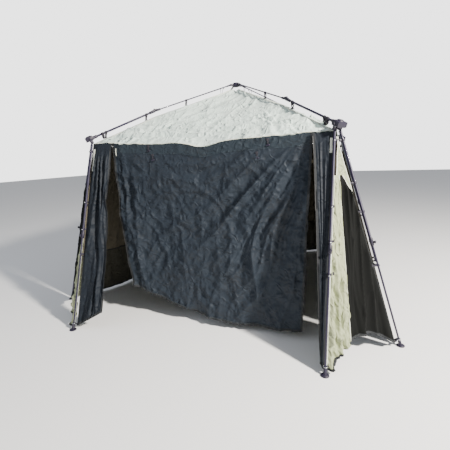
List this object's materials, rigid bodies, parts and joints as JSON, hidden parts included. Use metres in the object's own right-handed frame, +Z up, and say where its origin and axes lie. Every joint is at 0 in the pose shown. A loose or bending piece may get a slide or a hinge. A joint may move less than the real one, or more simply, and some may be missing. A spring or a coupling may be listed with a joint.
{
  "type": "screen house",
  "caption": "Folding outdoor screen house: outer pole frame with splayed telescopic legs, hung canopy, walls and a slack front curtain.",
  "frame": {"origin": "on the ground under the crown, at the centre of the eight feet", "axes": "+Z up, the curtain wall faces -Y, +X to the right when looking at the curtain from outside"},
  "size_m": [3.7236, 3.7236, 2.5713],
  "materials": {
    "moulded_nylon": "moulded glass-filled nylon, near black",
    "steel_tube": "powder-coated steel tube, near black",
    "glass_fibre": "pultruded glass-fibre rod, dark grey",
    "roof_cloth": "coated polyester, pale mint white, finely wrinkled",
    "wall_cloth": "coated polyester skirt and dark insect mesh",
    "curtain_cloth": "coated polyester, dark blue-green, wrinkled",
    "corner_cloth": "coated polyester, pale cream green, with a charcoal mesh panel"
  },
  "bodies": {
    "crown": {"crown_hub": "moulded_nylon", "crown_cap": "moulded_nylon"},
    "roof_upper_fl": {"roof_rod_fl": "glass_fibre", "canopy_inner_fl": "roof_cloth"},
    "roof_lower_fl": {"elbow_fork_fl": "moulded_nylon", "roof_tube_fl": "steel_tube", "corner_hub_fl": "moulded_nylon", "canopy_outer_fl": "roof_cloth"},
    "leg_fl_front": {"leg_upper_fl_front": "steel_tube", "front_curtain": "curtain_cloth", "front_strip_left": "curtain_cloth"},
    "shank_fl_front": {"leg_lower_fl_front": "steel_tube", "foot_fl_front": "moulded_nylon"},
    "leg_fl_side": {"leg_upper_fl_side": "steel_tube", "corner_panel_fl": "corner_cloth"},
    "shank_fl_side": {"leg_lower_fl_side": "steel_tube", "foot_fl_side": "moulded_nylon"},
    "roof_upper_fr": {"roof_rod_fr": "glass_fibre", "canopy_inner_fr": "roof_cloth"},
    "roof_lower_fr": {"elbow_fork_fr": "moulded_nylon", "roof_tube_fr": "steel_tube", "corner_hub_fr": "moulded_nylon", "canopy_outer_fr": "roof_cloth"},
    "leg_fr_side": {"leg_upper_fr_side": "steel_tube", "wall_right": "wall_cloth"},
    "shank_fr_side": {"leg_lower_fr_side": "steel_tube", "foot_fr_side": "moulded_nylon"},
    "leg_fr_front": {"leg_upper_fr_front": "steel_tube", "front_strip_right": "curtain_cloth", "corner_panel_fr": "corner_cloth"},
    "shank_fr_front": {"leg_lower_fr_front": "steel_tube", "foot_fr_front": "moulded_nylon"},
    "roof_upper_br": {"roof_rod_br": "glass_fibre", "canopy_inner_br": "roof_cloth"},
    "roof_lower_br": {"elbow_fork_br": "moulded_nylon", "roof_tube_br": "steel_tube", "corner_hub_br": "moulded_nylon", "canopy_outer_br": "roof_cloth"},
    "leg_br_back": {"leg_upper_br_back": "steel_tube", "wall_back": "wall_cloth"},
    "shank_br_back": {"leg_lower_br_back": "steel_tube", "foot_br_back": "moulded_nylon"},
    "leg_br_side": {"leg_upper_br_side": "steel_tube", "corner_panel_br": "corner_cloth"},
    "shank_br_side": {"leg_lower_br_side": "steel_tube", "foot_br_side": "moulded_nylon"},
    "roof_upper_bl": {"roof_rod_bl": "glass_fibre", "canopy_inner_bl": "roof_cloth"},
    "roof_lower_bl": {"elbow_fork_bl": "moulded_nylon", "roof_tube_bl": "steel_tube", "corner_hub_bl": "moulded_nylon", "canopy_outer_bl": "roof_cloth"},
    "leg_bl_side": {"leg_upper_bl_side": "steel_tube", "wall_left": "wall_cloth"},
    "shank_bl_side": {"leg_lower_bl_side": "steel_tube", "foot_bl_side": "moulded_nylon"},
    "leg_bl_back": {"leg_upper_bl_back": "steel_tube", "corner_panel_bl": "corner_cloth"},
    "shank_bl_back": {"leg_lower_bl_back": "steel_tube", "foot_bl_back": "moulded_nylon"}
  },
  "joints": [
    {"name": "crown_hinge_fl", "type": "hinge", "parent": "crown", "child": "roof_upper_fl", "pos_m": [-0.0495, -0.0495, 2.54], "axis": [0.7071, -0.7071, 0], "range_deg": [0, 71.17], "deforming": ["front_curtain", "front_strip_left", "front_strip_right", "wall_left", "wall_right", "wall_back", "corner_panel_fl", "canopy_inner_fl", "canopy_outer_fl", "corner_panel_fr", "canopy_inner_fr", "canopy_outer_fr", "corner_panel_br", "canopy_inner_br", "canopy_outer_br", "corner_panel_bl", "canopy_inner_bl", "canopy_outer_bl"]},
    {"name": "elbow_fl", "type": "hinge", "parent": "roof_upper_fl", "child": "roof_lower_fl", "pos_m": [-0.74602, -0.74602, 2.2221], "axis": [-0.7071, 0.7071, 0], "range_deg": [0, 180]},
    {"name": "leg_hinge_fl_front", "type": "hinge", "parent": "roof_lower_fl", "child": "leg_fl_front", "pos_m": [-1.22108, -1.25785, 1.86504], "axis": [0.8104, -0.5859, 0], "range_deg": [0, 123.12]},
    {"name": "leg_slide_fl_front", "type": "slide", "parent": "leg_fl_front", "child": "shank_fl_front", "axis": [0.002, 0.2928, 0.9562], "range_m": [0, 0.8]},
    {"name": "leg_hinge_fl_side", "type": "hinge", "parent": "roof_lower_fl", "child": "leg_fl_side", "pos_m": [-1.25785, -1.22108, 1.86504], "axis": [0.5859, -0.8104, 0], "range_deg": [0, 123.12]},
    {"name": "leg_slide_fl_side", "type": "slide", "parent": "leg_fl_side", "child": "shank_fl_side", "axis": [0.2928, 0.002, 0.9562], "range_m": [0, 0.8]},
    {"name": "crown_hinge_fr", "type": "hinge", "parent": "crown", "child": "roof_upper_fr", "pos_m": [0.0495, -0.0495, 2.54], "axis": [0.7071, 0.7071, 0], "range_deg": [0, 71.17]},
    {"name": "elbow_fr", "type": "hinge", "parent": "roof_upper_fr", "child": "roof_lower_fr", "pos_m": [0.74602, -0.74602, 2.2221], "axis": [-0.7071, -0.7071, 0], "range_deg": [0, 180]},
    {"name": "leg_hinge_fr_side", "type": "hinge", "parent": "roof_lower_fr", "child": "leg_fr_side", "pos_m": [1.25785, -1.22108, 1.86504], "axis": [0.5859, 0.8104, 0], "range_deg": [0, 123.12]},
    {"name": "leg_slide_fr_side", "type": "slide", "parent": "leg_fr_side", "child": "shank_fr_side", "axis": [-0.2928, 0.002, 0.9562], "range_m": [0, 0.8]},
    {"name": "leg_hinge_fr_front", "type": "hinge", "parent": "roof_lower_fr", "child": "leg_fr_front", "pos_m": [1.22108, -1.25785, 1.86504], "axis": [0.8104, 0.5859, 0], "range_deg": [0, 123.12]},
    {"name": "leg_slide_fr_front", "type": "slide", "parent": "leg_fr_front", "child": "shank_fr_front", "axis": [-0.002, 0.2928, 0.9562], "range_m": [0, 0.8]},
    {"name": "crown_hinge_br", "type": "hinge", "parent": "crown", "child": "roof_upper_br", "pos_m": [0.0495, 0.0495, 2.54], "axis": [-0.7071, 0.7071, 0], "range_deg": [0, 71.17]},
    {"name": "elbow_br", "type": "hinge", "parent": "roof_upper_br", "child": "roof_lower_br", "pos_m": [0.74602, 0.74602, 2.2221], "axis": [0.7071, -0.7071, 0], "range_deg": [0, 180]},
    {"name": "leg_hinge_br_back", "type": "hinge", "parent": "roof_lower_br", "child": "leg_br_back", "pos_m": [1.22108, 1.25785, 1.86504], "axis": [-0.8104, 0.5859, 0], "range_deg": [0, 123.12]},
    {"name": "leg_slide_br_back", "type": "slide", "parent": "leg_br_back", "child": "shank_br_back", "axis": [-0.002, -0.2928, 0.9562], "range_m": [0, 0.8]},
    {"name": "leg_hinge_br_side", "type": "hinge", "parent": "roof_lower_br", "child": "leg_br_side", "pos_m": [1.25785, 1.22108, 1.86504], "axis": [-0.5859, 0.8104, 0], "range_deg": [0, 123.12]},
    {"name": "leg_slide_br_side", "type": "slide", "parent": "leg_br_side", "child": "shank_br_side", "axis": [-0.2928, -0.002, 0.9562], "range_m": [0, 0.8]},
    {"name": "crown_hinge_bl", "type": "hinge", "parent": "crown", "child": "roof_upper_bl", "pos_m": [-0.0495, 0.0495, 2.54], "axis": [-0.7071, -0.7071, 0], "range_deg": [0, 71.17]},
    {"name": "elbow_bl", "type": "hinge", "parent": "roof_upper_bl", "child": "roof_lower_bl", "pos_m": [-0.74602, 0.74602, 2.2221], "axis": [0.7071, 0.7071, 0], "range_deg": [0, 180]},
    {"name": "leg_hinge_bl_side", "type": "hinge", "parent": "roof_lower_bl", "child": "leg_bl_side", "pos_m": [-1.25785, 1.22108, 1.86504], "axis": [-0.5859, -0.8104, 0], "range_deg": [0, 123.12]},
    {"name": "leg_slide_bl_side", "type": "slide", "parent": "leg_bl_side", "child": "shank_bl_side", "axis": [0.2928, -0.002, 0.9562], "range_m": [0, 0.8]},
    {"name": "leg_hinge_bl_back", "type": "hinge", "parent": "roof_lower_bl", "child": "leg_bl_back", "pos_m": [-1.22108, 1.25785, 1.86504], "axis": [-0.8104, -0.5859, 0], "range_deg": [0, 123.12]},
    {"name": "leg_slide_bl_back", "type": "slide", "parent": "leg_bl_back", "child": "shank_bl_back", "axis": [0.002, -0.2928, 0.9562], "range_m": [0, 0.8]}
  ],
  "couplings": [
    {"joint": "elbow_fl", "follows": "crown_hinge_fl", "ratio": 2.5289},
    {"joint": "leg_hinge_fl_front", "follows": "crown_hinge_fl", "ratio": 1.7297},
    {"joint": "leg_hinge_fl_side", "follows": "crown_hinge_fl", "ratio": 1.7297},
    {"joint": "crown_hinge_fr", "follows": "crown_hinge_fl", "ratio": 1},
    {"joint": "elbow_fr", "follows": "crown_hinge_fl", "ratio": 2.5289},
    {"joint": "leg_hinge_fr_side", "follows": "crown_hinge_fl", "ratio": 1.7297},
    {"joint": "leg_hinge_fr_front", "follows": "crown_hinge_fl", "ratio": 1.7297},
    {"joint": "crown_hinge_br", "follows": "crown_hinge_fl", "ratio": 1},
    {"joint": "elbow_br", "follows": "crown_hinge_fl", "ratio": 2.5289},
    {"joint": "leg_hinge_br_back", "follows": "crown_hinge_fl", "ratio": 1.7297},
    {"joint": "leg_hinge_br_side", "follows": "crown_hinge_fl", "ratio": 1.7297},
    {"joint": "crown_hinge_bl", "follows": "crown_hinge_fl", "ratio": 1},
    {"joint": "elbow_bl", "follows": "crown_hinge_fl", "ratio": 2.5289},
    {"joint": "leg_hinge_bl_side", "follows": "crown_hinge_fl", "ratio": 1.7297},
    {"joint": "leg_hinge_bl_back", "follows": "crown_hinge_fl", "ratio": 1.7297}
  ]
}
